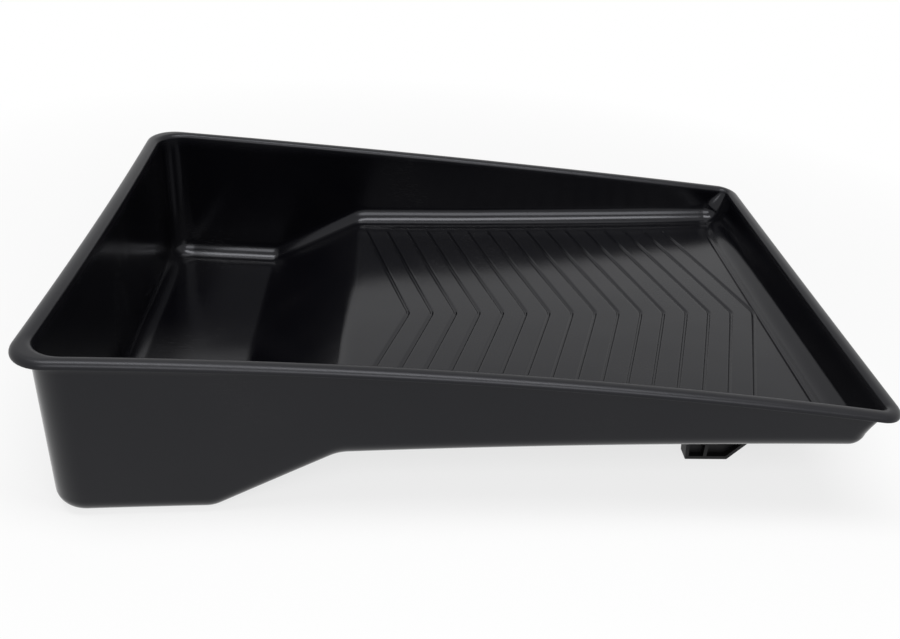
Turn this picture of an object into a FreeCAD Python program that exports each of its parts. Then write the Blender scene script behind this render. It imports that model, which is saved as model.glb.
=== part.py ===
import FreeCAD, Part
import math
import os
import re

import Sketcher
from FreeCAD import Placement, Rotation, Vector

# Paint roller tray: one thin plastic pan on two press-studded legs. Millimetres.
# The pan stands on its well floor and on the legs. X runs from the deep end to the
# shallow end, Y from the near side to the far side, and Z up. The origin lies on the
# ground below the middle of the pan's rim.

SIZES = {
    # The rim, over the outside of the turned-down lip.
    "tray_length": 418,
    "tray_width": 290,
    "deep_height": 91.7,
    "shallow_height": 67.8,
    "rim_crown": 4.1,
    "side_bow": 5.2,
    "deep_bow": 2.1,
    "shallow_bow": 0.4,
    "rim_corner_deep": 18,
    "rim_corner_shallow": 13,
    # The lip: how far it overhangs the wall at the deep end, and its section.
    "lip_overhang": 5.9,
    "lip_drop": 3.6,
    "lip_wall": 1.8,
    "lip_round": 2.6,
    "lip_edge_round": 0.7,
    "mouth_round": 1,
    # The pan's wall and its roundings, measured on the outside.
    "wall": 2,
    "draft_angle": 0.6,
    "corner_deep": 17.5,
    "corner_shallow": 8,
    "base_round": 8,
    "end_round": 15,
    # The bottom's side profile, with places measured from the deep end of the rim.
    "ramp_foot": 82.3,
    "ramp_angle": 28.5,
    "deck_place": 141.9,
    "deck_slope": 2.4,
    "knee_round": 20,
    # The chevron grooves: the first one's place along the deck from its lower end, and
    # how far the last one and all their ends stay within the crease.
    "groove_count": 16,
    "groove_place": 35,
    "groove_gap": 0.8,
    "groove_side": 10.5,
    "groove_sweep": 16.6,
    "groove_width": 1.2,
    "groove_depth": 0.9,
    "groove_elbow": 5,
    "groove_round": 0.5,
    # The crease that frames the grooves: where it starts along the deck, and how far it
    # stays within the rim.
    "border_place": 16,
    "border_margin": 25.4,
    "border_side": 20.5,
    "border_corner": 8,
    "border_width": 1.2,
    "border_depth": 0.4,
    # The legs, with places measured from the shallow end of the rim and from its side.
    "leg_side": 57.5,
    "leg_start": 92,
    "leg_end": 40,
    "foot_start": 88,
    "foot_length": 24,
    "toe_run": 14.5,
    "toe_rise": 16,
    "leg_width": 9,
    "leg_wall": 2,
    "rib_start": 77,
    "plate_wall": 2.5,
    "plate_outer": 5,
    "plate_inner": 16,
    "plate_margin": 3,
    # The studs below the deck that pass through the legs' plates.
    "stud_start": 85,
    "stud_pitch": 34,
    "stud_inset": 9,
    "stud_width": 4,
    "stud_clearance": 0.2,
    "head_width": 6.6,
    "head_height": 1.6,
    # How far a cutting form runs past what it cuts.
    "spare": 20,
}

document = FreeCAD.newDocument("paint_roller_tray")
sheet = document.addObject("Spreadsheet::Sheet", "Sizes")
for row, (alias, size) in enumerate(SIZES.items(), 1):
    sheet.set(f"A{row}", str(size))
    sheet.setAlias(f"A{row}", alias)
document.recompute()


def formula(text):
    """An expression of the document, from one that names the sizes alone."""
    return re.sub(r"[a-z_]+", lambda word: f"Sizes.{word[0]}" if word[0] in SIZES else word[0], text)


def number(text):
    """What an expression of the sizes comes to now."""
    return float(sheet.evalExpression(formula(text)))


def bind(target, **formulas):
    """Bind properties to the sizes; two underscores stand for the dot of a path."""
    for name, text in formulas.items():
        target.setExpression(name.replace("__", "."), formula(text))


# Heights and places that several pieces share, as formulas of the sizes.

DECK_HEIGHT = "((deck_place - ramp_foot) * tan(ramp_angle))"
RIM_CHORD = "((tray_length ^ 2 + (deep_height - shallow_height) ^ 2) / 4)"
RIM_RADIUS = f"({RIM_CHORD} / (2 * rim_crown) + rim_crown / 2)"
BODY_TOP = "(deep_height + spare / 2)"
BORDER_END = "((tray_length - border_margin - deck_place) / cos(deck_slope))"
BORDER_REACH = "(tray_width / 2 - border_side)"
GROOVE_PITCH = f"(({BORDER_END} - groove_gap - groove_place) / (groove_count - 1))"
GROOVE_REACH = f"({BORDER_REACH} - groove_side)"
LEG_SPREAD = "(tray_width / 2 - leg_side)"
LEG_START = "(tray_length - leg_start)"
LEG_END = "(tray_length - leg_end)"
FOOT_START = "(tray_length - foot_start)"
RIB_PLACE = "(tray_length - rib_start)"
STUD_START = "(tray_length - stud_start)"


def deck_underside(place):
    """The height of the deck's underside at a place along the tray."""
    return f"({DECK_HEIGHT} + ({place} - deck_place) * tan(deck_slope))"


def rim_height(x):
    """The height of the rim's top at x in the model's frame."""
    share = x / number("tray_length") + 0.5
    fall = number("deep_height - shallow_height") * share
    return number("deep_height") - fall + number("rim_crown") * (1 - (2 * share - 1) ** 2)


# Sketches.


def arc_between(start, end, radius, turn):
    """The short arc from start to end that turns left (1) or right (-1)."""
    chord = end - start
    left = Vector(-chord.y, chord.x, 0).normalize()
    reach = math.sqrt(max(radius ** 2 - (chord.Length / 2) ** 2, 0))
    centre = (start + end) / 2 + left * (turn * reach)
    first, last = (start, end) if turn > 0 else (end, start)
    first_angle = math.atan2(first.y - centre.y, first.x - centre.x)
    last_angle = math.atan2(last.y - centre.y, last.x - centre.x)
    if last_angle < first_angle:
        last_angle += 2 * math.pi
    return Part.ArcOfCircle(Part.Circle(centre, Vector(0, 0, 1), radius), first_angle, last_angle)


def new_sketch(body, name, plane):
    """An empty sketch on one of the body's own origin planes."""
    sketch = body.newObject("Sketcher::SketchObject", name)
    support = next(item for item in body.Origin.OriginFeatures if item.Role == plane)
    sketch.AttachmentSupport = [(support, "")]
    sketch.MapMode = "FlatFace"
    return sketch


def hold(sketch, name, constraint, text):
    """Add a dimension to a sketch and bind it to a formula."""
    index = sketch.addConstraint(Sketcher.Constraint(*constraint, number(text)))
    sketch.renameConstraint(index, name)
    sketch.setExpression(f"Constraints.{name}", formula(text))


def draw_loop(sketch, corners):
    """Draw a closed loop through (x, y) corners, all bound to the sizes.

    A corner with a radius and a turn starts an arc; any other starts a line.
    """
    base = sketch.GeometryCount
    points = [Vector(number(corner[0]), number(corner[1]), 0) for corner in corners]
    ends = []
    for start, end, corner in zip(points, points[1:] + points[:1], corners):
        if len(corner) == 2:
            sketch.addGeometry(Part.LineSegment(start, end), False)
            ends.append((1, 2))
        else:
            radius, turn = corner[2:]
            sketch.addGeometry(arc_between(start, end, number(radius), turn), False)
            ends.append((1, 2) if turn > 0 else (2, 1))
    for index, corner in enumerate(corners):
        following = (index + 1) % len(corners)
        here = base + index
        joint = ("Coincident", here, ends[index][1], base + following, ends[following][0])
        sketch.addConstraint(Sketcher.Constraint(*joint))
        hold(sketch, f"across{here}", ("DistanceX", -1, 1, here, ends[index][0]), corner[0])
        hold(sketch, f"along{here}", ("DistanceY", -1, 1, here, ends[index][0]), corner[1])
        if len(corner) > 2:
            hold(sketch, f"radius{here}", ("Radius", here), corner[2])
    return sketch


# Features.


def new_body(name):
    """A body whose own X starts at the deep end of the rim."""
    body = document.addObject("PartDesign::Body", name)
    bind(body, Placement__Base__x="-tray_length / 2")
    return body


def pad(body, sketch, length, inner=None, centred=False):
    """Raise a sketch, to one side, to both sides by two lengths, or about its plane."""
    feature = body.newObject("PartDesign::Pad", f"{sketch.Name}_pad")
    feature.Profile = sketch
    bind(feature, Length=length)
    if inner:
        feature.SideType = "Two sides"
        bind(feature, Length2=inner)
    elif centred:
        feature.SideType = "Symmetric"
    return feature


def cut_across(body, name, corners):
    """Cut a side profile, drawn in X and Z, through the whole width of a body."""
    sketch = draw_loop(new_sketch(body, name, "XZ_Plane"), corners)
    feature = body.newObject("PartDesign::Pocket", f"{name}_pocket")
    feature.Profile = sketch
    feature.SideType = "Symmetric"
    feature.Type = "ThroughAll"
    return feature


def round_edges(body, name, radius, wanted):
    """Fillet the edges of a body's last feature that a test picks."""
    document.recompute()
    last = body.Tip
    edges = [f"Edge{index}" for index, edge in enumerate(last.Shape.Edges, 1) if wanted(edge)]
    feature = body.newObject("PartDesign::Fillet", name)
    feature.Base = (last, edges)
    bind(feature, Radius=radius)
    return feature


def combine(kind, name, base, tool):
    """A boolean of two objects: Cut or Fuse."""
    result = document.addObject(f"Part::{kind}", name)
    result.Base = base
    result.Tool = tool
    return result


# Outlines and profiles of the pan.


def outline(inset):
    """The plan of the pan at an inset from the rim: four sides that bow inwards."""
    half_width = f"(tray_width / 2 - {inset})"
    start, end = inset, f"(tray_length - {inset})"
    side = f"((tray_length / 2 - {inset}) ^ 2 / (2 * side_bow) + side_bow / 2)"
    shallow = f"({half_width} ^ 2 / (2 * shallow_bow) + shallow_bow / 2)"
    deep = f"({half_width} ^ 2 / (2 * deep_bow) + deep_bow / 2)"
    return [
        (start, f"-{half_width}", side, -1),
        (end, f"-{half_width}", shallow, -1),
        (end, half_width, side, -1),
        (start, half_width, deep, -1),
    ]


def rim_line(lift):
    """The rim's arc from the deep end to the shallow end, raised by a lift."""
    return [
        ("-spare", f"deep_height + {lift}"),
        ("0", f"deep_height + {lift}", RIM_RADIUS, -1),
        ("tray_length", f"shallow_height + {lift}"),
        ("tray_length + spare", f"shallow_height + {lift}"),
    ]


def cut_above_rim(body, lift):
    """Cut away all that stands above the rim's arc, raised by a lift."""
    top = f"{BODY_TOP} + spare"
    corners = rim_line(lift) + [("tray_length + spare", top), ("-spare", top)]
    return cut_across(body, f"{body.Name}_above", corners)


def cut_below_lip(body):
    """Cut away all that lies below the lip's lower edge."""
    corners = rim_line("(-lip_drop)")
    corners += [("tray_length + spare", "-spare"), ("-spare", "-spare")]
    return cut_across(body, f"{body.Name}_below", corners)


def cut_below_pan(body, shrink):
    """Cut away all that lies below the ramp, the knee and the deck."""
    # The ramp's foot and the knee's corner, moved in square to the faces.
    foot = f"(ramp_foot - {shrink} * tan(ramp_angle / 2))"
    move = f"({shrink} / cos((ramp_angle - deck_slope) / 2))"
    corner_x = f"(deck_place - {move} * sin((ramp_angle + deck_slope) / 2))"
    corner_z = f"({DECK_HEIGHT} + {move} * cos((ramp_angle + deck_slope) / 2))"
    radius = f"(knee_round + {shrink})"
    tangent = f"({radius} * tan((ramp_angle - deck_slope) / 2))"
    low = f"({shrink} - spare)"
    far_height = f"({corner_z} + (tray_length + spare - {corner_x}) * tan(deck_slope))"
    return cut_across(body, f"{body.Name}_under", [
        (f"{foot} - spare / tan(ramp_angle)", low),
        (
            f"{corner_x} - {tangent} * cos(ramp_angle)",
            f"{corner_z} - {tangent} * sin(ramp_angle)",
            radius,
            -1,
        ),
        (f"{corner_x} + {tangent} * cos(deck_slope)", f"{corner_z} + {tangent} * sin(deck_slope)"),
        ("tray_length + spare", far_height),
        ("tray_length + spare", low),
    ])


# The pan's forms: its outside, its inside, and the solid that the lip is cut from.


def pan_form(name, shrink, lift):
    """A drafted, rounded form of the pan: its outside, or its inside a wall further in."""
    body = new_body(name)
    levels = []
    for level, height in (("floor", shrink), ("top", BODY_TOP)):
        inset = f"(lip_overhang + (deep_height - {height}) * tan(draft_angle) + {shrink})"
        sketch = new_sketch(body, f"{name}_{level}", "XY_Plane")
        bind(sketch, AttachmentOffset__Base__z=height)
        levels.append(draw_loop(sketch, outline(inset)))
    loft = body.newObject("PartDesign::AdditiveLoft", f"{name}_loft")
    loft.Profile, loft.Sections = levels[0], [levels[1]]
    loft.Ruled = True
    cut_below_pan(body, shrink)
    cut_above_rim(body, lift)

    length, width = number("tray_length"), number("tray_width")

    def deep_corner(edge):
        box = edge.BoundBox
        return box.ZLength > number("deep_height") / 2 and box.XMax < length / 2

    def end_edge(edge):
        box = edge.BoundBox
        low = box.ZMax < number("shallow_height") - number("base_round")
        return box.YLength > width / 2 and box.XMin > length * 0.9 and low

    round_edges(body, f"{name}_corners", f"corner_deep - {shrink}", deep_corner)
    round_edges(body, f"{name}_end", f"end_round - {shrink}", end_edge)
    document.recompute()

    # The bottom edges, and the corners of the shallow end, with a radius of their own at the rim.
    low_radius = number(f"base_round - {shrink}")
    high_radius = number(f"corner_shallow - {shrink}")
    top_lift = number(lift)

    def on_rim(vertex):
        return abs(vertex.Z - rim_height(vertex.X) - top_lift) < 0.5

    rounded = document.addObject("Part::Fillet", f"{name}_rounded")
    rounded.Base = body
    choice = []
    for index, edge in enumerate(body.Shape.Edges, 1):
        box = edge.BoundBox
        ends = [edge.Vertexes[0], edge.Vertexes[-1]]
        at_rim = [on_rim(vertex) for vertex in ends]
        across = box.YLength > width / 2 and box.XMin > -length * 0.45
        if all(at_rim) or across:
            continue
        if not any(at_rim):
            choice.append((index, low_radius, low_radius))
        elif box.XMin > 0:
            start = edge.valueAt(edge.FirstParameter)
            rises = edge.valueAt(edge.LastParameter).z > start.z
            radii = (low_radius, high_radius) if rises else (high_radius, low_radius)
            choice.append((index, *radii))
    rounded.Edges = choice
    return rounded


def rim_form(name, inset, lift):
    """A straight-sided solid over the rim's plan, cut off at the rim's arc."""
    body = new_body(name)
    sketch = draw_loop(new_sketch(body, f"{name}_plan", "XY_Plane"), outline(inset))
    pad(body, sketch, BODY_TOP)
    middle = number("tray_length") / 2

    def upright(edge):
        return edge.BoundBox.ZLength > number("deep_height")

    def deep_upright(edge):
        return upright(edge) and edge.BoundBox.XMax < middle

    def shallow_upright(edge):
        return upright(edge) and edge.BoundBox.XMax > number("tray_length") - number("rim_corner_deep")

    round_edges(body, f"{name}_deep", f"rim_corner_deep - {inset}", deep_upright)
    round_edges(body, f"{name}_shallow", f"rim_corner_shallow - {inset}", shallow_upright)
    cut_above_rim(body, lift)
    return body


def lip_form():
    """The lip's outside: a band under the rim's arc with a rounded outer edge."""
    body = rim_form("lip_outside", "0", "0")
    cut_below_lip(body)

    def top_edge(edge):
        ends = [edge.Vertexes[0], edge.Vertexes[-1]]
        shift = number("tray_length") / 2
        return all(abs(vertex.Z - rim_height(vertex.X - shift)) < 0.5 for vertex in ends)

    def low_edge(edge):
        ends = [edge.Vertexes[0], edge.Vertexes[-1]]
        shift = number("tray_length") / 2
        drop = number("lip_drop")
        return all(abs(vertex.Z - rim_height(vertex.X - shift) + drop) < 0.5 for vertex in ends)

    round_edges(body, "lip_top_round", "lip_round", top_edge)
    round_edges(body, "lip_low_round", "lip_edge_round", low_edge)
    return body


def pan_bowl():
    """The pan as one thin shell with its turned-down lip, before its grooves."""
    outside = pan_form("pan_outside", "0", "(-lip_wall / 2)")
    inside = pan_form("pan_inside", "wall", "(spare / 4)")
    lip = combine("Cut", "lip", lip_form(), rim_form("lip_inside", "lip_wall", "(-lip_wall)"))
    blank = combine("Fuse", "pan_blank", outside, lip)
    bowl = combine("Cut", "pan_bowl", blank, inside)
    document.recompute()

    # The mouth's edge, where the lip turns down into the wall.
    mouth = document.addObject("Part::Fillet", "pan_mouth")
    mouth.Base = bowl
    within = number("lip_round + lip_wall")
    half_length, half_width = number("tray_length / 2"), number("tray_width / 2")
    radius = number("mouth_round")
    choice = []
    for index, edge in enumerate(bowl.Shape.Edges, 1):
        ends = [edge.Vertexes[0], edge.Vertexes[-1]]
        on_top = all(abs(vertex.Z - rim_height(vertex.X)) < 0.5 for vertex in ends)
        inner = all(
            abs(vertex.X) < half_length - within and abs(vertex.Y) < half_width - within
            for vertex in ends
        )
        if on_top and inner:
            choice.append((index, radius, radius))
    mouth.Edges = choice
    return mouth


# Grooves in the deck. Their X runs up the deck from the inside corner of the knee.


def deck_body(name, depth):
    """A body in the deck's own frame, and a sketch plane at a depth below its top."""
    body = document.addObject("PartDesign::Body", name)
    body.Placement = Placement(Vector(), Rotation(Vector(0, -1, 0), number("deck_slope")))
    bind(
        body,
        Placement__Base__x="deck_place - tray_length / 2 - wall * sin(deck_slope)",
        Placement__Base__z=f"{DECK_HEIGHT} + wall * cos(deck_slope)",
        Placement__Rotation__Angle="deck_slope",
    )
    sketch = new_sketch(body, f"{name}_plan", "XY_Plane")
    bind(sketch, AttachmentOffset__Base__z=f"-{depth}")
    return body, sketch


def chevrons():
    """All the chevron grooves: one soft-bottomed chevron and its pattern."""
    body, sketch = deck_body("chevrons", "groove_depth")
    body.AllowCompound = True
    centre = "(groove_place - groove_elbow / cos(groove_sweep))"
    outer = "(groove_elbow + groove_width / 2)"
    inner = "(groove_elbow - groove_width / 2)"
    tip = f"(groove_place - {GROOVE_REACH} * tan(groove_sweep))"
    side_x = "(groove_width / 2 * cos(groove_sweep))"
    side_y = "(groove_width / 2 * sin(groove_sweep))"
    end_round = "groove_width * 0.6"
    draw_loop(sketch, [
        (f"{tip} + {side_x}", f"-{GROOVE_REACH} - {side_y}"),
        (f"{centre} + {outer} * cos(groove_sweep)", f"-{outer} * sin(groove_sweep)", outer, 1),
        (f"{centre} + {outer} * cos(groove_sweep)", f"{outer} * sin(groove_sweep)"),
        (f"{tip} + {side_x}", f"{GROOVE_REACH} + {side_y}", end_round, 1),
        (f"{tip} - {side_x}", f"{GROOVE_REACH} - {side_y}"),
        (f"{centre} + {inner} * cos(groove_sweep)", f"{inner} * sin(groove_sweep)", inner, -1),
        (f"{centre} + {inner} * cos(groove_sweep)", f"-{inner} * sin(groove_sweep)"),
        (f"{tip} - {side_x}", f"-{GROOVE_REACH} + {side_y}", end_round, 1),
    ])
    pad(body, sketch, "groove_depth + wall")

    def bottom_edge(edge):
        return edge.BoundBox.ZMax < -number("groove_depth") * 0.9

    round_edges(body, "chevron_bottom", "groove_round", bottom_edge)
    document.recompute()
    pattern = body.newObject("PartDesign::LinearPattern", "chevron_pattern")
    pattern.TransformMode = "Whole shape"
    pattern.Direction = (next(x for x in body.Origin.OriginFeatures if x.Role == "X_Axis"), [""])
    pattern.Mode = "Spacing"
    bind(pattern, Offset=GROOVE_PITCH, Occurrences="groove_count")
    body.Tip = pattern
    return body


def border():
    """The crease that frames the chevrons on three sides."""
    body, sketch = deck_body("border", "border_depth")
    reach = f"({BORDER_REACH} + border_width / 2)"
    inner_reach = f"({BORDER_REACH} - border_width / 2)"
    end = f"({BORDER_END} + border_width / 2)"
    inner_end = f"({BORDER_END} - border_width / 2)"
    inner_corner = "(border_corner - border_width)"
    draw_loop(sketch, [
        ("border_place", f"-{reach}"),
        (f"{end} - border_corner", f"-{reach}", "border_corner", 1),
        (end, f"border_corner - {reach}"),
        (end, f"{reach} - border_corner", "border_corner", 1),
        (f"{end} - border_corner", reach),
        ("border_place", reach),
        ("border_place", inner_reach),
        (f"{inner_end} - {inner_corner}", inner_reach, inner_corner, -1),
        (inner_end, f"{inner_reach} - {inner_corner}"),
        (inner_end, f"{inner_corner} - {inner_reach}", inner_corner, -1),
        (f"{inner_end} - {inner_corner}", f"-{inner_reach}"),
        ("border_place", f"-{inner_reach}"),
    ])
    pad(body, sketch, "border_depth + wall")
    return body


# The legs and the studs that hold them.


def on_deck(item, place, side, drop):
    """Stand an object square to the deck, its base a drop below the deck's underside."""
    item.Placement = Placement(Vector(), Rotation(Vector(0, -1, 0), number("deck_slope")))
    bind(
        item,
        Placement__Base__x=f"{place} - tray_length / 2 + {drop} * sin(deck_slope)",
        Placement__Base__y=f"{side}",
        Placement__Base__z=f"{deck_underside(place)} - {drop} * cos(deck_slope)",
        Placement__Rotation__Angle="deck_slope",
    )


def stud_places(sign):
    """Where the two studs of a leg stand: along the tray, and across it."""
    across = f"({sign} * ({LEG_SPREAD} - stud_inset))"
    return [(STUD_START, across), (f"({STUD_START} + stud_pitch)", across)]


def stud(name, place, side):
    """A stud under the deck, with the head that was pressed on it below the plate."""
    shank = document.addObject("Part::Cylinder", f"{name}_shank")
    bind(shank, Radius="stud_width / 2", Height="plate_wall + head_height + wall / 2")
    on_deck(shank, place, side, "(plate_wall + head_height)")
    head = document.addObject("Part::Cone", f"{name}_head")
    bind(head, Radius1="(stud_width + head_width) / 4", Radius2="head_width / 2")
    bind(head, Height="head_height")
    on_deck(head, place, side, "(plate_wall + head_height)")
    return combine("Fuse", name, shank, head)


def stud_hole(name, place, side):
    """The hole in a leg's plate round a stud."""
    hole = document.addObject("Part::Cylinder", name)
    bind(hole, Radius="stud_width / 2 + stud_clearance", Height="3 * plate_wall")
    on_deck(hole, place, side, "(2 * plate_wall)")
    return hole


def leg_profile():
    """The leg's side outline in X and Z, from its foot to its plate."""
    return [
        (FOOT_START, "0"),
        (f"{FOOT_START} + foot_length", "0"),
        (f"{FOOT_START} + foot_length + toe_run", "toe_rise"),
        (LEG_END, f"{deck_underside(LEG_END)} - plate_wall / 2"),
        (LEG_START, f"{deck_underside(LEG_START)} - plate_wall / 2"),
    ]


def inset_loop(sketch, distance):
    """Draw a second loop inside the first, each side a distance within its twin."""
    count = sketch.GeometryCount
    sides = sketch.Geometry
    gap = number(distance)
    points = []
    for index in range(count):
        before = (sides[index].StartPoint - sides[index - 1].StartPoint).normalize()
        after = (sides[index].EndPoint - sides[index].StartPoint).normalize()
        lefts = Vector(-before.y, before.x, 0) + Vector(-after.y, after.x, 0)
        points.append(sides[index].StartPoint + lefts * (gap / (1 + before.dot(after))))
    for start, end in zip(points, points[1:] + points[:1]):
        sketch.addGeometry(Part.LineSegment(start, end), False)
    for index in range(count):
        twin, following = count + index, count + (index + 1) % count
        sketch.addConstraint(Sketcher.Constraint("Coincident", twin, 2, following, 1))
        sketch.addConstraint(Sketcher.Constraint("Parallel", twin, index))
    for index in range(count):
        hold(sketch, f"gap{index}", ("Distance", count + index, 1, index), distance)


def leg(name, sign):
    """A leg on one side (-1 near, 1 far): flange, web, rib and plate, and its holes."""
    body = new_body(f"{name}_blank")
    bind(body, Placement__Base__y=f"{sign} * {LEG_SPREAD}")
    flange = draw_loop(new_sketch(body, f"{name}_flange", "XZ_Plane"), leg_profile())
    inset_loop(flange, "leg_wall")
    pad(body, flange, "leg_width", centred=True)
    web = draw_loop(new_sketch(body, f"{name}_web", "XZ_Plane"), leg_profile())
    pad(body, web, "leg_wall", centred=True)
    rib = draw_loop(new_sketch(body, f"{name}_rib", "XZ_Plane"), [
        (f"{RIB_PLACE} - leg_wall / 2", "leg_wall / 2"),
        (f"{RIB_PLACE} + leg_wall / 2", "leg_wall / 2"),
        (f"{RIB_PLACE} + leg_wall / 2", f"{deck_underside(RIB_PLACE)} - plate_wall"),
        (f"{RIB_PLACE} - leg_wall / 2", f"{deck_underside(RIB_PLACE)} - plate_wall"),
    ])
    pad(body, rib, "leg_width", centred=True)
    start, end = f"({LEG_START} - plate_margin)", f"({LEG_END} + plate_margin)"
    plate = draw_loop(new_sketch(body, f"{name}_plate", "XZ_Plane"), [
        (start, f"{deck_underside(start)} - plate_wall"),
        (end, f"{deck_underside(end)} - plate_wall"),
        (end, deck_underside(end)),
        (start, deck_underside(start)),
    ])
    lengths = ("plate_outer", "plate_inner") if sign < 0 else ("plate_inner", "plate_outer")
    pad(body, plate, *lengths)
    holes = [
        stud_hole(f"{name}_hole_{index}", *place)
        for index, place in enumerate(stud_places(sign), 1)
    ]
    cut = combine("Cut", f"{name}_cut", body, holes[0])
    return combine("Cut", name, cut, holes[1])


def tray_shell():
    """The whole pan moulding with its grooves and the studs below its deck."""
    shell = combine("Cut", "pan_grooved", pan_bowl(), chevrons())
    shell = combine("Cut", "pan_bordered", shell, border())
    studs = [
        stud(f"{side}_stud_{index}", *place)
        for side, sign in (("near", -1), ("far", 1))
        for index, place in enumerate(stud_places(sign), 1)
    ]
    joined = document.addObject("Part::MultiFuse", "tray_shell")
    joined.Shapes = [shell] + studs
    return joined


NODES = [tray_shell(), leg("near_leg", -1), leg("far_leg", 1)]
document.recompute()

for item in document.Objects:
    if "Invalid" in item.State or "Error" in item.State:
        raise RuntimeError(f"{item.Name} failed: {item.State}")
os.makedirs("parts", exist_ok=True)
for node in NODES:
    node.Label = node.Name
    if node.Shape.isNull() or not node.Shape.isValid():
        raise RuntimeError(f"{node.Name} has no valid shape")
    if len(node.Shape.Solids) != 1:
        raise RuntimeError(f"{node.Name} is {len(node.Shape.Solids)} solids")
for node in NODES:
    node.Shape.exportStep(f"parts/{node.Name}.step")
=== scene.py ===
import math

import bmesh
import bpy
from mathutils import Matrix, Vector
from mathutils.geometry import delaunay_2d_cdt


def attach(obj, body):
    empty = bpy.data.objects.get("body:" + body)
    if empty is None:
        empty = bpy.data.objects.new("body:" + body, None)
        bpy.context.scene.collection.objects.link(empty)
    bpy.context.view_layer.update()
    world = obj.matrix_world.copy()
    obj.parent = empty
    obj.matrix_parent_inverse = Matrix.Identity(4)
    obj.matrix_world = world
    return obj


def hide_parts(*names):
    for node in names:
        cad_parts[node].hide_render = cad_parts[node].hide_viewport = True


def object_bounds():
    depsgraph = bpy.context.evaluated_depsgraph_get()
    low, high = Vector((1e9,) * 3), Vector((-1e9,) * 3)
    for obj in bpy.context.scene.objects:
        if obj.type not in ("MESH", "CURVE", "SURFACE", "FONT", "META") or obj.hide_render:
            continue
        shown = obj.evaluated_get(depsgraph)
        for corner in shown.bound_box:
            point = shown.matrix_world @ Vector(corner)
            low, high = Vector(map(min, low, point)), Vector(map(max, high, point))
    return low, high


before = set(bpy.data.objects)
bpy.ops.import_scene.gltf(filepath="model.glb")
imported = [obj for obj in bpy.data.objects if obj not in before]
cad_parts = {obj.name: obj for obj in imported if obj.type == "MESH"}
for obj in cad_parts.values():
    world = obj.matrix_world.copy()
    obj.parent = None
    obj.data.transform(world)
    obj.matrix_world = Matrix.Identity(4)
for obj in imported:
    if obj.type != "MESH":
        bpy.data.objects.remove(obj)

# Paint roller tray: one black moulded pan on two press-studded legs.
# X runs from the deep end to the shallow end, Y from the near side to the far side.

CAD_LOW, CAD_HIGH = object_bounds()


# The pan's measures in millimetres, in the frame's axes.

MM = 0.001
HALF_LENGTH, HALF_WIDTH = 209.0, 145.0
RIM_DEEP, RIM_SHALLOW, RIM_CROWN = 91.7, 67.8, 4.1
SIDE_BOW, DEEP_BOW, SHALLOW_BOW = 5.2, 2.1, 0.4
OVERHANG, WALL, DRAFT = 5.9, 2.0, math.tan(math.radians(0.6))
RAMP_FOOT, DECK_START = 82.3 - HALF_LENGTH, 141.9 - HALF_LENGTH
RAMP_ANGLE, DECK_SLOPE = math.radians(28.5), math.radians(2.4)
DECK_HEIGHT = (DECK_START - RAMP_FOOT) * math.tan(RAMP_ANGLE)
FOOT_ROUND, KNEE_ROUND = 14.0, 20.0

# How far the rim's top stays below the solid's, to lie within the frame's box.
RIM_CLEARANCE = 0.02

# The roundings between floor and wall at the sides, the deep end and the shallow end, and
# the corners in plan: the deep ones, then the shallow ones low down and at the rim.
INNER_ROUNDS, OUTER_ROUNDS = (11.0, 11.0, 10.0), (9.0, 9.0, 10.0)
INNER_CORNERS, OUTER_CORNERS = (15.5, 10.5, 5.0), (17.5, 11.0, 7.0)

# How far the shallow end's wall leans out towards its rim.
END_LEAN = math.radians(20.0)

# The lip's section: its skirt with the rounding and the bevel of its lower edge, the bevel
# under its top, the turn out of the mouth, and the roll over the top. Then its corners in
# plan.
LIP_DROP, LIP_WALL, LIP_EDGE = 3.6, 1.8, 0.25
LIP_BEVEL, LIP_HOLLOW = 0.3, 0.6
MOUTH_RUN, MOUTH_FALL = 3.2, 2.6
ROLL_RUN, ROLL_FALL = 4.3, 3.1
RIM_CORNERS = (18.0, 13.0)

# The chevron grooves: where they lie, how their lines run, and their section, with the gap
# that they keep from the knee.
GROOVE_COUNT, GROOVE_PITCH, GROOVE_FIRST = 16, 14.25, DECK_START + 33.6
GROOVE_REACH, GROOVE_ELBOW, GROOVE_DRIFT = 114.0, 1.5, 0.02
GROOVE_SWEEP, GROOVE_SKEW = math.tan(math.radians(16.2)), 0.033
GROOVE_HALF, GROOVE_DEPTH, GROOVE_FADE, GROOVE_GAP = 1.3, 0.95, 4.0, 1.0

# The crease that frames the grooves: where it runs, and its section.
CREASE_START, CREASE_END = DECK_START + 16.0, HALF_LENGTH - 27.0
CREASE_INSET, CREASE_CORNER = 2.2, 8.0
CREASE_HALF, CREASE_DEPTH, CREASE_FADE = 1.7, 0.35, 12.0

# The studs below the deck, whose heads hold the legs' plates: their places from the shallow
# end and inwards from the legs, then the radius and the level of each corner of their
# turned section.
STUD_START, STUD_PITCH, STUD_INSET, LEG_SIDE = 85.0, 34.0, 9.0, 57.5
STUD_PLACES = (HALF_LENGTH - STUD_START, HALF_LENGTH - STUD_START + STUD_PITCH)
STUD_SIDE = HALF_WIDTH - LEG_SIDE - STUD_INSET
STUD_RADIUS, STUD_ROOT, PLATE_WALL, HEAD_END = 2.0, 0.5, 2.5, 4.1
STUD_SECTION = (
    (0.0, -HEAD_END),
    (2.3, -HEAD_END),
    (2.65, -3.95),
    (3.15, -3.0),
    (3.3, -2.65),
    (3.15, -PLATE_WALL),
    (STUD_RADIUS, -PLATE_WALL),
    (STUD_RADIUS, STUD_ROOT),
    (0.0, STUD_ROOT),
)

# Handling dulls the lip: by name, how far down from its top, and over what fade.
RIM_WEAR, WEAR_DROP, WEAR_FADE = "rim_wear", 2.5, 2.5


# Steps and spacings of the mesh.

ROUND_STEPS, CORNER_STEPS, END_STEPS = 14, 12, 14
MOUTH_STEPS, ROLL_STEPS, EDGE_STEPS = 8, 10, 3
WALL_LEVELS = (0.1, 0.3, 0.5, 0.7, 0.9, 1.0)
STUD_SIDES = 32
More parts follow.
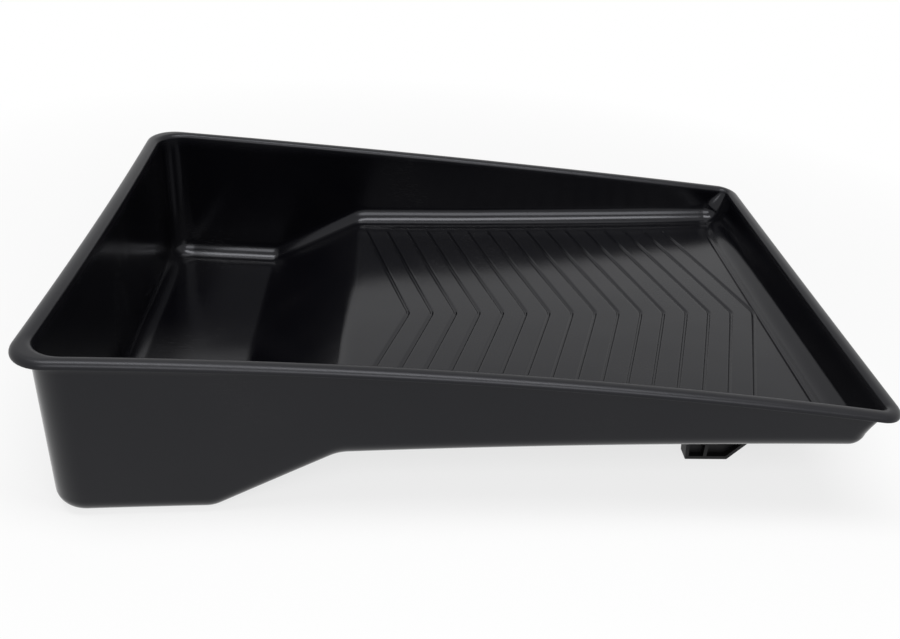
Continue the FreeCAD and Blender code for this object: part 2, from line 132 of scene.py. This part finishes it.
# Along the sides: the bends' margin and step, the straight stretches' step, where those
# end near the corners, and the two places from there to a corner.
BEND_MARGIN, BEND_STEP, SIDE_STEP = 0.8, 0.9, 9.0
SIDE_ANCHOR, ANCHOR_SHARES = 176.0, (0.33, 0.67)
# Along a groove: places about its elbow, then where its straight runs begin off the elbow
# and end off the groove's end, their steps, and the last places off its end. Across it:
# places as shares of its half width.
ELBOW_PLACES = (-6.5, -4.5, -3.0, -2.0, -1.0, 0.0, 1.0, 2.0, 3.0, 4.5, 6.5)
RUN_BEGIN, RUN_END, RUN_STEPS, END_PLACES = 10.0, 3.0, 14, (2.0, 1.0, 0.0)
GROOVE_SHARES = (-1.5, -1.0, -0.67, -0.33, 0.0, 0.33, 0.67, 1.0, 1.5)
# Along the crease: steps of its straight sides and of its corners. Across it: places.
CREASE_STEPS, CREASE_TURN_STEPS = 36, 8
CREASE_PLACES = (-2.0, -1.7, -1.1, -0.55, 0.0, 0.55, 1.1, 1.7, 2.0)
# Rounds in which a corner's centre settles, and the distances at which points are one.
SETTLE_ROUNDS, PLAN_WELD, WELD = 8, 0.0001, 0.002


def mixed(first, second, share):
    return first + (second - first) * share


def eased(share):
    share = min(max(share, 0.0), 1.0)
    return share * share * (3.0 - 2.0 * share)


def arc_rise(radius, run):
    """How far an arc has risen at a run from where it starts level."""
    return radius - math.sqrt(radius**2 - run**2)


class Profile:
    """The side profile of floor, ramp and deck, raised from the underside by a lift."""

    def __init__(self, lift):
        self.lift = lift
        self.steep, self.slight = math.tan(RAMP_ANGLE), math.tan(DECK_SLOPE)
        self.foot = RAMP_FOOT + lift * (1.0 - 1.0 / math.cos(RAMP_ANGLE)) / self.steep
        self.foot_radius = FOOT_ROUND - lift
        self.foot_start = self.foot - self.foot_radius * math.tan(RAMP_ANGLE / 2)
        self.foot_end = self.foot_start + self.foot_radius * math.sin(RAMP_ANGLE)
        self.deck_zero = DECK_HEIGHT + lift / math.cos(DECK_SLOPE) - DECK_START * self.slight
        knee = (self.deck_zero - lift + self.foot * self.steep) / (self.steep - self.slight)
        self.knee_radius = KNEE_ROUND + lift
        reach = self.knee_radius * math.tan((RAMP_ANGLE - DECK_SLOPE) / 2)
        self.knee_start = knee - reach * math.cos(RAMP_ANGLE)
        self.knee_end = knee + reach * math.cos(DECK_SLOPE)
        self.knee_x = self.knee_start + self.knee_radius * math.sin(RAMP_ANGLE)
        self.knee_z = self.ramp(self.knee_start) - self.knee_radius * math.cos(RAMP_ANGLE)

    def ramp(self, x):
        return self.lift + (x - self.foot) * self.steep

    def height(self, x):
        if x < self.foot_start:
            return self.lift
        if x < self.foot_end:
            return self.lift + arc_rise(self.foot_radius, x - self.foot_start)
        if x < self.knee_start:
            return self.ramp(x)
        if x < self.knee_end:
            return self.knee_z + math.sqrt(self.knee_radius**2 - (x - self.knee_x) ** 2)
        return self.deck_zero + x * self.slight


INSIDE, UNDERSIDE = Profile(WALL), Profile(0.0)


def rim_height(x):
    """The height of the rim's top, which arches along the pan."""
    share = x / HALF_LENGTH
    chord = mixed(RIM_DEEP, RIM_SHALLOW, (share + 1.0) / 2.0)
    return chord + RIM_CROWN * (1.0 - share * share) - RIM_CLEARANCE


def bend_stations():
    """Places along the pan, close together over the ramp's foot and the knee."""
    places = []
    for start, end in (
        (INSIDE.foot_start - BEND_MARGIN, UNDERSIDE.foot_end + BEND_MARGIN),
        (INSIDE.knee_start - BEND_MARGIN, UNDERSIDE.knee_end + BEND_MARGIN),
    ):
        steps = math.ceil((end - start) / BEND_STEP)
        places += [mixed(start, end, step / steps) for step in range(steps + 1)]
    return places


BENDS = bend_stations()


def side_stations():
    """Places along the long sides, with wide steps where the profile is straight."""
    places = [-SIDE_ANCHOR] + BENDS + [SIDE_ANCHOR]
    stations = []
    for start, end in zip(places, places[1:]):
        steps = max(1, round((end - start) / SIDE_STEP))
        stations += [mixed(start, end, step / steps) for step in range(steps)]
    return stations + [SIDE_ANCHOR]


STATIONS = side_stations()
# How many points of a ring come before the first station.
FIRST_STATION = END_STEPS + CORNER_STEPS + 1 + len(ANCHOR_SHARES)


# The pan's plan. U runs towards an end and V towards a side, both from the middle.


def side_place(u, inset):
    """The V of a long side and its slope there; the sides bow inwards."""
    reach = HALF_LENGTH - inset
    return HALF_WIDTH - inset - SIDE_BOW * (1.0 - (u / reach) ** 2), 2.0 * SIDE_BOW * u / reach**2


def end_place(v, inset, bow):
    """The U of an end and its slope there."""
    reach = HALF_WIDTH - inset
    return HALF_LENGTH - inset - bow * (1.0 - (v / reach) ** 2), 2.0 * bow * v / reach**2


def rounded_corner(side_inset, end_inset, bow, radius):
    """A corner's arc from end to side: U, V, the outward direction, and the end's share."""
    u, v = HALF_LENGTH - end_inset - radius, HALF_WIDTH - side_inset - radius
    for _ in range(SETTLE_ROUNDS):
        side_v, side_slope = side_place(u, side_inset)
        end_u, end_slope = end_place(v, end_inset, bow)
        v = side_v - radius * math.hypot(1.0, side_slope)
        u = end_u - radius * math.hypot(1.0, end_slope)
    first, last = -math.atan(end_slope), math.pi / 2 + math.atan(side_slope)
    points = []
    for step in range(CORNER_STEPS + 1):
        angle = mixed(first, last, step / CORNER_STEPS)
        across, along = math.cos(angle), math.sin(angle)
        share = 1.0 - step / CORNER_STEPS
        points.append((u + radius * across, v + radius * along, across, along, share))
    return points


def end_run(reach, inset, bow):
    """Points along an end, from its middle to just before its corner."""
    points = []
    for step in range(END_STEPS):
        v = reach * step / END_STEPS
        u, slope = end_place(v, inset, bow)
        length = math.hypot(1.0, slope)
        points.append((u, v, 1.0 / length, -slope / length, 1.0))
    return points


def half_plan(side_inset, end_insets, radii):
    """The plan's near half: X, Y, the outward direction, and the end's share."""
    deep_corner = rounded_corner(side_inset, end_insets[0], DEEP_BOW, radii[0])
    shallow_corner = rounded_corner(side_inset, end_insets[1], SHALLOW_BOW, radii[1])
    deep = end_run(deep_corner[0][1], end_insets[0], DEEP_BOW) + deep_corner
    shallow = end_run(shallow_corner[0][1], end_insets[1], SHALLOW_BOW) + shallow_corner
    start, end = -deep[-1][0], shallow[-1][0]
    places = [mixed(start, -SIDE_ANCHOR, share) for share in ANCHOR_SHARES] + STATIONS
    places += [mixed(SIDE_ANCHOR, end, share) for share in ANCHOR_SHARES]
    points = [(-u, -v, -across, -along, share) for u, v, across, along, share in deep]
    for x in places:
        v, slope = side_place(x, side_inset)
        length = math.hypot(1.0, slope)
        points.append((x, -v, -slope / length, -1.0 / length, 0.0))
    points += [(u, -v, across, -along, share) for u, v, across, along, share in reversed(shallow)]
    return points


def ring(side_inset, end_insets, radii, height, outward=0.0, drafted=True):
    """A ring of points round the pan, at a height that depends on X and the end's share."""
    half = []
    for x, y, across, along, share in half_plan(side_inset, end_insets, radii):
        z = height(x, share)
        shift = outward - (max(RIM_DEEP - z, 0.0) * DRAFT if drafted else 0.0)
        place = x + across * shift
        half.append((place, y + along * shift, height(place, share)))
    return half + [(x, -y, z) for x, y, z in reversed(half[1:-1])]


def skin(profile, inset, rounds, corners, top_drop):
    """Rings of the inside or the outside, from the edge of its floor up to its top."""
    side_round, deep_round, shallow_round = rounds
    corner_deep, corner_low, corner_top = corners

    def rise(x, share, turn, end_turn):
        """How far the roundings have risen when they have turned so far."""
        side = side_round * (1.0 - math.cos(turn))
        deep = deep_round * (1.0 - math.cos(turn))
        shallow = shallow_round * (1.0 - math.cos(end_turn))
        return mixed(side, deep if x < 0.0 else shallow, share)

    end, full, end_full = HALF_LENGTH - inset, math.pi / 2, math.pi / 2 - END_LEAN
    wall = rim_height(end) - top_drop - profile.height(end) - rise(end, 1.0, full, end_full)
    lean = wall * math.tan(END_LEAN)
    rings = []
    for step in range(ROUND_STEPS + 1):
        turn, end_turn = full * step / ROUND_STEPS, end_full * step / ROUND_STEPS
        back = 1.0 - math.sin(turn)
        end_back = shallow_round * (math.cos(END_LEAN) - math.sin(end_turn))
        ends = (inset + deep_round * back, inset + lean + end_back)
        radii = (corner_deep - deep_round * back, corner_low - end_back)

        def height(x, share):
            return profile.height(x) + rise(x, share, turn, end_turn)

        rings.append(ring(inset + side_round * back, ends, radii, height))
    for level in WALL_LEVELS:

        def height(x, share):
            start = profile.height(x) + rise(x, share, full, end_full)
            return mixed(start, rim_height(x) - top_drop, level)

        radii = (corner_deep, mixed(corner_low, corner_top, eased(level)))
        rings.append(ring(inset, (inset, inset + lean * (1.0 - level)), radii, height))
    return rings


def quarter(steps):
    """Angles of a quarter turn, from 0 to a right angle."""
    return [math.pi / 2 * step / steps for step in range(steps + 1)]


def lip():
    """Rings of the lip: up out of the mouth, over its roll, and down its outer skirt."""

    def mouth(outward, fall):
        inset, radii = OVERHANG + WALL, (INNER_CORNERS[0], INNER_CORNERS[2])
        return ring(inset, (inset, inset), radii, lambda x, share: rim_height(x) - fall, outward)

    def outer(inset, fall):
        radii = tuple(radius - inset for radius in RIM_CORNERS)
        return ring(inset, (inset, inset), radii, lambda x, share: rim_height(x) - fall, drafted=False)

    rings = []
    for angle in quarter(MOUTH_STEPS)[1:]:
        rings.append(mouth(MOUTH_RUN * (1.0 - math.cos(angle)), MOUTH_FALL * (1.0 - math.sin(angle))))
    for angle in quarter(ROLL_STEPS):
        rings.append(outer(ROLL_RUN * (1.0 - math.sin(angle)), ROLL_FALL * (1.0 - math.cos(angle))))
    for angle in quarter(EDGE_STEPS):
        fall = LIP_DROP - LIP_EDGE * (1.0 - math.sin(angle))
        rings.append(outer(LIP_EDGE * (1.0 - math.cos(angle)), fall))
    rings += [outer(LIP_WALL - LIP_BEVEL, LIP_DROP), outer(LIP_WALL, LIP_DROP - LIP_BEVEL)]
    rings += [outer(LIP_WALL, LIP_WALL + LIP_HOLLOW), outer(LIP_WALL + LIP_HOLLOW, LIP_WALL)]
    return rings


# The grooves and the crease, as depths below the floor.


def hollow(off, half, depth):
    """The depth of a soft hollow at a distance from its line."""
    return depth * (0.5 + 0.5 * math.cos(math.pi * off / half)) if off < half else 0.0


def groove_line(index, y):
    """The X of a groove at a distance from the middle, and how fast it falls back there."""
    elbow = index * GROOVE_PITCH
    away = y + GROOVE_DRIFT * elbow
    reach = math.hypot(away, GROOVE_ELBOW)
    back = GROOVE_SWEEP * (reach - GROOVE_ELBOW) - GROOVE_SKEW * away
    return GROOVE_FIRST + elbow - back, GROOVE_SWEEP * away / reach - GROOVE_SKEW


def groove_depth(x, y):
    index = round((x - groove_line(0, y)[0]) / GROOVE_PITCH)
    line, slope = groove_line(min(max(index, 0), GROOVE_COUNT - 1), y)
    off = abs(x - line) / math.hypot(1.0, slope)
    from_end, from_knee = GROOVE_REACH - abs(y), x - DECK_START - GROOVE_GAP
    fade = eased(from_end / GROOVE_FADE) * eased(from_knee / GROOVE_FADE)
    return hollow(off, GROOVE_HALF, GROOVE_DEPTH * fade)


def crease_side(x):
    """The distance of the crease from the middle, along the pan's sides."""
    inset = OVERHANG + WALL + INNER_ROUNDS[0] + CREASE_INSET
    return side_place(x, inset)[0] - (RIM_DEEP - INSIDE.height(x)) * DRAFT


def crease_depth(x, y):
    centre = CREASE_END - CREASE_CORNER
    corner_y = crease_side(centre) - CREASE_CORNER
    far = abs(y)
    if far > corner_y and x > centre:
        off = abs(math.hypot(x - centre, far - corner_y) - CREASE_CORNER)
    elif far > corner_y:
        off = abs(far - crease_side(x))
    else:
        off = abs(x - CREASE_END)
    return hollow(off, CREASE_HALF, CREASE_DEPTH * eased((x - CREASE_START) / CREASE_FADE))


def deepest(x, y):
    """The depth of the floor's relief at a point."""
    return max(groove_depth(x, y), crease_depth(x, y))


def groove_lines():
    """Lines along every groove, close enough across it to hold its section."""
    lines = []
    for index in range(GROOVE_COUNT):
        elbow = -GROOVE_DRIFT * index * GROOVE_PITCH
        across = [elbow + place for place in ELBOW_PLACES]
        for side in (-1.0, 1.0):
            start, end = elbow + side * RUN_BEGIN, side * (GROOVE_REACH - RUN_END)
            across += [mixed(start, end, step / RUN_STEPS) for step in range(RUN_STEPS + 1)]
            across += [side * (GROOVE_REACH - place) for place in END_PLACES]
        across.sort()
        for share in GROOVE_SHARES:
            line = []
            for y in across:
                x, slope = groove_line(index, y)
                line.append((x + share * GROOVE_HALF * math.hypot(1.0, slope), y))
            lines.append(line)
    return lines


def crease_lines():
    """Lines along the crease, from the near side round the end to the far side."""
    centre = CREASE_END - CREASE_CORNER
    corner_y = crease_side(centre) - CREASE_CORNER
    lines = []
    for off in CREASE_PLACES:
        line = []
        for step in range(CREASE_STEPS + 1):
            x = mixed(CREASE_START, centre, step / CREASE_STEPS)
            line.append((x, -crease_side(x) - off))
        radius = CREASE_CORNER + off
        for angle in quarter(CREASE_TURN_STEPS)[1:]:
            line.append((centre + radius * math.sin(angle), -corner_y - radius * math.cos(angle)))
        lines.append(line + [(x, -y) for x, y in reversed(line)])
    return lines


# The floor's and the deck's sheets.


def within(x, y, edge):
    """Whether a point lies inside a ring in plan."""
    inside = False
    for (start_x, start_y, _), (end_x, end_y, _) in zip(edge, edge[1:] + edge[:1]):
        if (start_y > y) != (end_y > y):
            crossing = start_x + (end_x - start_x) * (y - start_y) / (end_y - start_y)
            if x < crossing:
                inside = not inside
    return inside


def sheet(edge, profile, lines, depth):
    """Fill a ring with a floor that keeps given lines, at the profile's height less a depth."""
    points = [Vector((x, y)) for x, y, _ in edge]
    edges = [(index, (index + 1) % len(points)) for index in range(len(points))]
    # At each bend a line runs across the sheet, from its near point to the far one.
    for index, x in enumerate(STATIONS, FIRST_STATION):
        if x in BENDS:
            edges.append((index, len(edge) - index))
    for line in lines:
        start = len(points)
        points += [Vector(point) for point in line]
        edges += [(index, index + 1) for index in range(start, len(points) - 1)]
    places, _, triangles = delaunay_2d_cdt(points, edges, [], 0, PLAN_WELD, False)[:3]
    # The ends and sides bow inwards, and the triangles outside the ring join only its own points.
    kept = []
    for triangle in triangles:
        middle = sum((places[index] for index in triangle), Vector((0.0, 0.0))) / 3.0
        if max(triangle) >= len(edge) or within(*middle, edge):
            kept.append(triangle)
    return [(x, y, profile.height(x) - depth(x, y)) for x, y in places], kept


def stud(place, side):
    """A stud's turned shape, square to the deck: its corners and its faces."""
    foot = Vector((place, side, UNDERSIDE.height(place)))
    tilt = Matrix.Rotation(-DECK_SLOPE, 3, "Y")
    corners, faces = [], []
    for radius, level in STUD_SECTION:
        for step in range(STUD_SIDES):
            turn = math.tau * step / STUD_SIDES
            along, across = radius * math.cos(turn), radius * math.sin(turn)
            corners.append(foot + tilt @ Vector((along, across, level)))
    for row in range(len(STUD_SECTION) - 1):
        for step in range(STUD_SIDES):
            after = (step + 1) % STUD_SIDES
            low, high = row * STUD_SIDES, (row + 1) * STUD_SIDES
            faces.append((low + step, low + after, high + after, high + step))
    return corners, faces


def new_object(name, data):
    """An object of the scene that shows a mesh, a lamp or a camera."""
    item = bpy.data.objects.new(name, data)
    bpy.context.scene.collection.objects.link(item)
    return item


def closed_mesh(name, rings, patches):
    """A smooth mesh: rings, each joined to the next, and patches of faces, welded where they meet."""
    shape = bmesh.new()
    loops = [[shape.verts.new(Vector(point) * MM) for point in points] for points in rings]
    count = len(loops[0])
    for low, high in zip(loops, loops[1:]):
        for index in range(count):
            after = (index + 1) % count
            shape.faces.new((low[index], low[after], high[after], high[index]))
    for corners, faces in patches:
        made = [shape.verts.new(Vector(corner) * MM) for corner in corners]
        for face in faces:
            shape.faces.new([made[index] for index in face])
    bmesh.ops.remove_doubles(shape, verts=shape.verts, dist=WELD * MM)
    bmesh.ops.recalc_face_normals(shape, faces=shape.faces)
    for face in shape.faces:
        face.smooth = True
    mesh = bpy.data.meshes.new(name)
    shape.to_mesh(mesh)
    shape.free()
    return mesh


def mark_wear(mesh):
    """Note at each point of the mesh how worn it is, from 0 to 1 on the rim."""
    wear = mesh.attributes.new(RIM_WEAR, "FLOAT", "POINT")
    for corner in mesh.vertices:
        drop = rim_height(corner.co.x / MM) - corner.co.z / MM
        wear.data[corner.index].value = 1.0 - eased((drop - WEAR_DROP) / WEAR_FADE)


def pan():
    """The whole pan: a closed skin of floor, inside, lip, outside and underside, and its studs."""
    inside = skin(INSIDE, OVERHANG + WALL, INNER_ROUNDS, INNER_CORNERS, MOUTH_FALL)
    outside = skin(UNDERSIDE, OVERHANG, OUTER_ROUNDS, OUTER_CORNERS, LIP_WALL)
    floor_sheet = sheet(inside[0], INSIDE, groove_lines() + crease_lines(), deepest)
    under_sheet = sheet(outside[0], UNDERSIDE, [], lambda x, y: 0.0)
    studs = [stud(place, side) for place in STUD_PLACES for side in (-STUD_SIDE, STUD_SIDE)]
    mesh = closed_mesh("tray_pan", inside + lip() + outside[::-1], [floor_sheet, under_sheet] + studs)
    mark_wear(mesh)
    return new_object("tray_pan", mesh)


# Small helpers for materials.


class Nodes:
    """The node tree of a material or a world, with short calls to add and join nodes."""

    def __init__(self, owner, output):
        owner.use_nodes = True
        self.tree = owner.node_tree
        self.tree.nodes.clear()
        self.output = self.add(output)

    def finish(self, node):
        """Join the last shader to the output."""
        self.tree.links.new(node.outputs[0], self.output.inputs["Surface"])

    def add(self, kind, inputs=None, **settings):
        """A node with settings; inputs holds plain values or sockets to join from."""
        node = self.tree.nodes.new(kind)
        for name, value in settings.items():
            setattr(node, name, value)
        for name, value in (inputs or {}).items():
            if isinstance(value, bpy.types.NodeSocket):
                self.tree.links.new(value, node.inputs[name])
            else:
                node.inputs[name].default_value = value
        return node

    def place(self):
        """Object coordinates, in metres."""
        return self.add("ShaderNodeTexCoord").outputs["Object"]

    def noise(self, place, scale, detail, roughness=0.5):
        inputs = {"Vector": place, "Scale": scale, "Detail": detail, "Roughness": roughness}
        return self.add("ShaderNodeTexNoise", inputs).outputs["Fac"]

    def span(self, value, old, new=(0.0, 1.0)):
        """Map a value from one range to another, and hold it within the new one."""
        inputs = {
            "Value": value,
            "From Min": old[0],
            "From Max": old[1],
            "To Min": new[0],
            "To Max": new[1],
        }
        return self.add("ShaderNodeMapRange", inputs).outputs["Result"]

    def math(self, operation, first, second):
        return self.add("ShaderNodeMath", {0: first, 1: second}, operation=operation).outputs[0]

    def mix(self, factor, first, second):
        """Blend two colours, which this node takes at its inputs 6 and 7."""
        inputs = {0: factor, 6: first, 7: second}
        return self.add("ShaderNodeMix", inputs, data_type="RGBA").outputs[2]

    def bump(self, height, distance, inputs=None):
        """The surface's normal, bumped by a height from 0 to 1 that stands for a distance in metres."""
        inputs = {"Height": height, "Strength": 1.0, "Distance": distance} | (inputs or {})
        return self.add("ShaderNodeBump", inputs).outputs["Normal"]


def new_material(name):
    """An empty material and its nodes."""
    material = bpy.data.materials.new(name)
    return material, Nodes(material, "ShaderNodeOutputMaterial")


# The plastics: colours as red, green, blue and alpha.

PLASTIC_IOR = 1.36
PAN_DARK, PAN_PALE = (0.0016, 0.0016, 0.0026, 1.0), (0.0032, 0.0031, 0.0040, 1.0)
PAN_SCUFFED, PAN_GLOSS = (0.020, 0.020, 0.020, 1.0), (0.93, 0.94, 1.0, 1.0)
LEG_DARK, LEG_PALE = (0.0025, 0.0025, 0.003, 1.0), (0.005, 0.005, 0.0055, 1.0)

# The middle range of soft noise, and the range of scratches that show as scuffs.
CLOUD_RANGE, SCUFF_RANGE = (0.3, 0.7), (0.35, 0.48)
PAN_SATIN, LEG_MATT = (0.15, 0.19), (0.5, 0.62)
SCUFF_TINT, SCUFF_DULL, RIM_DULL = 0.12, 0.12, 0.16

# The heights of the pan's waves and of the moulded grains, in metres.
WAVE_HEIGHT, PAN_GRAIN, LEG_GRAIN = 0.00035, 0.000012, 0.00004


def scratch_noise(nodes, place):
    """Noise turned about Z and squeezed, for marks that run one way."""
    turn = (0.0, 0.0, math.radians(17.0))
    inputs = {"Vector": place, "Rotation": turn, "Scale": (1.0, 14.0, 14.0)}
    stretched = nodes.add("ShaderNodeMapping", inputs).outputs["Vector"]
    return nodes.noise(stretched, scale=160.0, detail=2.0, roughness=0.6)


def pan_plastic():
    """Black moulded plastic with a satin gloss, faint waves, fine grain and scuffs."""
    material, nodes = new_material("pan_plastic_black")
    place = nodes.place()
    cloud = nodes.noise(place, scale=14.0, detail=3.0)
    grain = nodes.noise(place, scale=1800.0, detail=1.0)
    waves = nodes.noise(place, scale=22.0, detail=1.0)
    scuffs = nodes.span(nodes.math("MULTIPLY", scratch_noise(nodes, place), cloud), SCUFF_RANGE)

    shade = nodes.mix(nodes.span(cloud, CLOUD_RANGE), PAN_DARK, PAN_PALE)
    colour = nodes.mix(nodes.math("MULTIPLY", scuffs, SCUFF_TINT), shade, PAN_SCUFFED)

    satin = nodes.span(cloud, CLOUD_RANGE, PAN_SATIN)
    worn = nodes.add("ShaderNodeAttribute", attribute_name=RIM_WEAR).outputs["Fac"]
    scuffed = nodes.math("MULTIPLY", scuffs, SCUFF_DULL)
    wear = nodes.math("ADD", scuffed, nodes.math("MULTIPLY", worn, RIM_DULL))
    roughness = nodes.math("ADD", satin, wear)

    broad = nodes.bump(waves, WAVE_HEIGHT)
    fine = nodes.bump(grain, PAN_GRAIN, {"Normal": broad})
    inputs = {
        "Base Color": colour,
        "Roughness": roughness,
        "IOR": PLASTIC_IOR,
        "Specular Tint": PAN_GLOSS,
        "Normal": fine,
    }
    nodes.finish(nodes.add("ShaderNodeBsdfPrincipled", inputs))
    return material


def leg_plastic():
    """The legs' duller black plastic, with a coarser moulded grain."""
    material, nodes = new_material("leg_plastic_black")
    place = nodes.place()
    cloud = nodes.noise(place, scale=30.0, detail=3.0)
    grain = nodes.noise(place, scale=1100.0, detail=2.0)
    inputs = {
        "Base Color": nodes.mix(nodes.span(cloud, CLOUD_RANGE), LEG_DARK, LEG_PALE),
        "Roughness": nodes.span(cloud, CLOUD_RANGE, LEG_MATT),
        "IOR": PLASTIC_IOR,
        "Normal": nodes.bump(grain, LEG_GRAIN),
    }
    nodes.finish(nodes.add("ShaderNodeBsdfPrincipled", inputs))
    return material


# The studio: floor, backdrop, lamps and camera, in metres.

WHITE, FLOOR_COLOUR = (1.0, 1.0, 1.0, 1.0), (0.86, 0.86, 0.86, 1.0)
FLOOR_SIDE, FLOOR_DROP = 6.0, 0.0002
# The floor's own light, as seen from the camera, from beside the tray to further away.
FLOOR_FADE, FLOOR_GLOW = (0.25, 0.6), (0.75, 1.0)
# The backdrop's level where it only lights the tray, and where it is seen.
BACKDROP_LEVELS = (0.15, 1.0)

# Each lamp's place, its two sides, and its power in watts; all face one point.
LAMPS = {
    "overhead": ((-0.05, -0.18, 1.3), (1.3, 0.35), 12.5),
    "front": ((0.05, -0.98, 0.86), (1.25, 0.45), 8.0),
}
LAMP_AIM = (0.0, 0.0, 0.05)

# The camera's place, its turns in degrees, and its lens and sensor in millimetres.
CAMERA_PLACE = Vector((-0.0452, -0.4930, 0.3271))
CAMERA_YAW, CAMERA_PITCH, CAMERA_ROLL = 8.250, -28.698, 5.660
CAMERA_LENS, CAMERA_SENSOR = 37.75, 36.0
CAMERA_SHIFT = (-0.0655, -0.0345)


def seen_directly(nodes):
    """1 for rays from the camera, and for those that gloss or glass sends on."""
    path = nodes.add("ShaderNodeLightPath").outputs
    first = nodes.math("MAXIMUM", path["Is Camera Ray"], path["Is Glossy Ray"])
    return nodes.math("MAXIMUM", first, path["Is Transmission Ray"])


def floor():
    """A plain white floor that keeps the tray's soft shadow."""
    mesh = bpy.data.meshes.new("floor")
    reach, height = FLOOR_SIDE / 2, CAD_LOW.z - FLOOR_DROP
    corners = [(-reach, -reach), (reach, -reach), (reach, reach), (-reach, reach)]
    mesh.from_pydata([(x, y, height) for x, y in corners], [], [(0, 1, 2, 3)])
    plane = new_object("floor", mesh)
    material, nodes = new_material("floor_white")
    matt = nodes.add("ShaderNodeBsdfDiffuse", {"Color": FLOOR_COLOUR}).outputs[0]
    glow = nodes.add("ShaderNodeEmission", {"Color": WHITE, "Strength": 1.0}).outputs[0]
    away = nodes.add("ShaderNodeVectorMath", {0: nodes.place()}, operation="LENGTH").outputs["Value"]
    share = nodes.math("MULTIPLY", seen_directly(nodes), nodes.span(away, FLOOR_FADE, FLOOR_GLOW))
    nodes.finish(nodes.add("ShaderNodeMixShader", {0: share, 1: matt, 2: glow}))
    mesh.materials.append(material)


def surroundings():
    """A white backdrop where it is seen, and a softer level where it only lights."""
    world = bpy.data.worlds.new("studio")
    bpy.context.scene.world = world
    nodes = Nodes(world, "ShaderNodeOutputWorld")
    level = nodes.span(seen_directly(nodes), (0.0, 1.0), BACKDROP_LEVELS)
    nodes.finish(nodes.add("ShaderNodeBackground", {"Color": WHITE, "Strength": level}))


def lamp(name, place, size, power):
    """A soft rectangular lamp that faces the tray."""
    data = bpy.data.lights.new(name, "AREA")
    data.shape = "RECTANGLE"
    data.size, data.size_y = size
    data.energy = power
    item = new_object(name, data)
    item.location = place
    item.rotation_euler = (Vector(LAMP_AIM) - Vector(place)).to_track_quat("-Z", "Y").to_euler()


def camera():
    """The camera, held by its place and its three turns."""
    yaw, pitch, roll = (math.radians(turn) for turn in (CAMERA_YAW, CAMERA_PITCH, CAMERA_ROLL))
    ahead = Vector((math.sin(yaw) * math.cos(pitch), math.cos(yaw) * math.cos(pitch), math.sin(pitch)))
    level = Vector((math.cos(yaw), -math.sin(yaw), 0.0))
    above = level.cross(ahead)
    right = level * math.cos(roll) + above * math.sin(roll)
    up = above * math.cos(roll) - level * math.sin(roll)
    data = bpy.data.cameras.new("camera")
    data.sensor_width, data.lens = CAMERA_SENSOR, CAMERA_LENS
    data.shift_x, data.shift_y = CAMERA_SHIFT
    item = new_object("camera", data)
    turned = Matrix((right, up, -ahead)).transposed().to_4x4()
    item.matrix_world = Matrix.Translation(CAMERA_PLACE) @ turned
    bpy.context.scene.camera = item


# The object.

tray = pan()
tray.data.materials.append(pan_plastic())
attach(tray, "root")
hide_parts("tray_shell")

leg_finish = leg_plastic()
for name in ("near_leg", "far_leg"):
    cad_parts[name].data.materials.clear()
    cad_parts[name].data.materials.append(leg_finish)

floor()
surroundings()
for name, (place, size, power) in LAMPS.items():
    lamp(name, place, size, power)
camera()
bpy.context.scene.view_settings.view_transform = "Standard"
